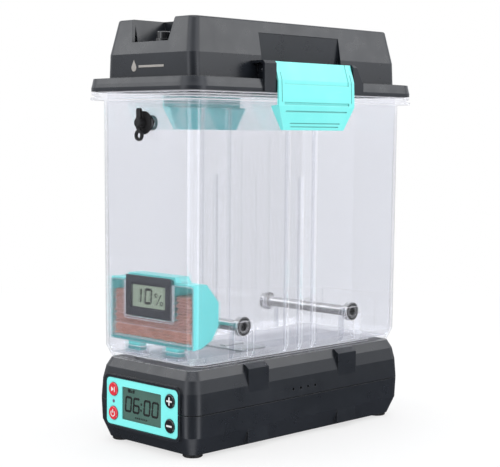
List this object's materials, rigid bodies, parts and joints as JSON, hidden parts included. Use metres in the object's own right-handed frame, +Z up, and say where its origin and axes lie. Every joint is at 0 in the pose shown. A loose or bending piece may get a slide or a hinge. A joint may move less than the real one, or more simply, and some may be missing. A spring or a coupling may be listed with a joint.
{
  "type": "filament dry box",
  "caption": "Latched clear dry box that holds a filament spool on rollers, standing on a heated dryer base with a control panel.",
  "frame": {"origin": "on the floor under the middle of the object", "axes": "+Z up, control panel and hygrometer towards -Y, rollers along X, latches on +X and -X"},
  "size_m": [0.121, 0.238, 0.3],
  "materials": {
    "black_plastic": "fine moulded texture, satin",
    "clear_plastic": "clear, polished",
    "turquoise_plastic": "semi-gloss",
    "black_rubber": "matte",
    "silicone": "matte, translucent white",
    "red_plastic": "gloss",
    "black_gloss_plastic": "gloss",
    "lcd_window": "glossy window over a grey-green display",
    "meter_plastic": "satin slate grey",
    "meter_lcd": "pale green display",
    "bead_orange": "granular beads",
    "polished_steel": "polished",
    "brushed_steel": "turned",
    "circuit_board": "solder mask green",
    "heater_alloy": "finned"
  },
  "bodies": {
    "base": {"base_lower_shell": "black_plastic", "base_upper_shell": "black_plastic", "outlet_seal": "silicone", "rubber_feet": "black_rubber", "base_screws": "brushed_steel", "control_bezel": "turquoise_plastic", "panel_display": "lcd_window", "status_lens": "red_plastic", "control_board": "circuit_board", "tact_switches": "black_gloss_plastic", "main_board": "circuit_board", "power_inlet": "black_gloss_plastic", "blower_housing": "black_plastic", "blower_motor": "brushed_steel", "heater_core": "heater_alloy", "air_duct": "black_plastic"},
    "impeller": {"blower_impeller": "black_plastic"},
    "mode_key": {"mode_button": "red_plastic"},
    "power_key": {"power_button": "red_plastic"},
    "plus_key": {"plus_button": "black_gloss_plastic"},
    "minus_key": {"minus_button": "black_gloss_plastic"},
    "tank": {"tank": "clear_plastic", "inlet_flap": "silicone", "bearing_outer_races": "polished_steel"},
    "front_roller": {"roller_shaft_front": "polished_steel", "bearing_inner_races_front": "polished_steel", "bearing_balls_front": "polished_steel"},
    "rear_roller": {"roller_shaft_rear": "polished_steel", "bearing_inner_races_rear": "polished_steel", "bearing_balls_rear": "polished_steel"},
    "desiccant_unit": {"desiccant_case": "turquoise_plastic", "desiccant_cover": "clear_plastic", "desiccant_beads": "bead_orange", "hygrometer_body": "meter_plastic", "hygrometer_display": "meter_lcd", "hygrometer_cell": "brushed_steel"},
    "plug": {"wall_plug": "black_rubber"},
    "lid": {"lid_shell": "black_plastic", "lid_gasket": "silicone", "latch_pins": "brushed_steel", "outlet_fitting": "black_gloss_plastic", "outlet_nut": "black_gloss_plastic"},
    "right_latch": {"latch_right": "turquoise_plastic"},
    "left_latch": {"latch_left": "turquoise_plastic"}
  },
  "joints": [
    {"name": "impeller_spin", "type": "hinge", "parent": "base", "child": "impeller", "pos_m": [0, 0.058, 0.02], "axis": [0, 0, 1], "continuous": true},
    {"name": "mode_press", "type": "slide", "parent": "base", "child": "mode_key", "axis": [0, 1, 0], "range_m": [0, 0.001], "stiffness_N_per_m": 300},
    {"name": "power_press", "type": "slide", "parent": "base", "child": "power_key", "axis": [0, 1, 0], "range_m": [0, 0.001], "stiffness_N_per_m": 300},
    {"name": "plus_press", "type": "slide", "parent": "base", "child": "plus_key", "axis": [0, 1, 0], "range_m": [0, 0.001], "stiffness_N_per_m": 300},
    {"name": "minus_press", "type": "slide", "parent": "base", "child": "minus_key", "axis": [0, 1, 0], "range_m": [0, 0.001], "stiffness_N_per_m": 300},
    {"name": "tank_lift", "type": "slide", "parent": "base", "child": "tank", "axis": [0, 0, 1], "range_m": [0, 0.08]},
    {"name": "front_roller_spin", "type": "hinge", "parent": "tank", "child": "front_roller", "pos_m": [0, -0.0583, 0.0865], "axis": [1, 0, 0], "continuous": true},
    {"name": "rear_roller_spin", "type": "hinge", "parent": "tank", "child": "rear_roller", "pos_m": [0, 0.0583, 0.0865], "axis": [1, 0, 0], "continuous": true},
    {"name": "case_lift", "type": "slide", "parent": "tank", "child": "desiccant_unit", "axis": [0, 0, 1], "range_m": [0, 0.06]},
    {"name": "plug_pull", "type": "slide", "parent": "tank", "child": "plug", "axis": [0, -1, 0], "range_m": [0, 0.02]},
    {"name": "lid_lift", "type": "slide", "parent": "tank", "child": "lid", "axis": [0, 0, 1], "range_m": [0, 0.018]},
    {"name": "right_latch_swing", "type": "hinge", "parent": "lid", "child": "right_latch", "pos_m": [0.0535, 0, 0.265], "axis": [0, -1, 0], "range_deg": [0, 140]},
    {"name": "left_latch_swing", "type": "hinge", "parent": "lid", "child": "left_latch", "pos_m": [-0.0535, 0, 0.265], "axis": [0, 1, 0], "range_deg": [0, 140]}
  ],
  "couplings": [
    {"joint": "right_latch_swing", "follows": "lid_lift", "rad_per_m": 135.7},
    {"joint": "left_latch_swing", "follows": "lid_lift", "rad_per_m": 135.7}
  ]
}
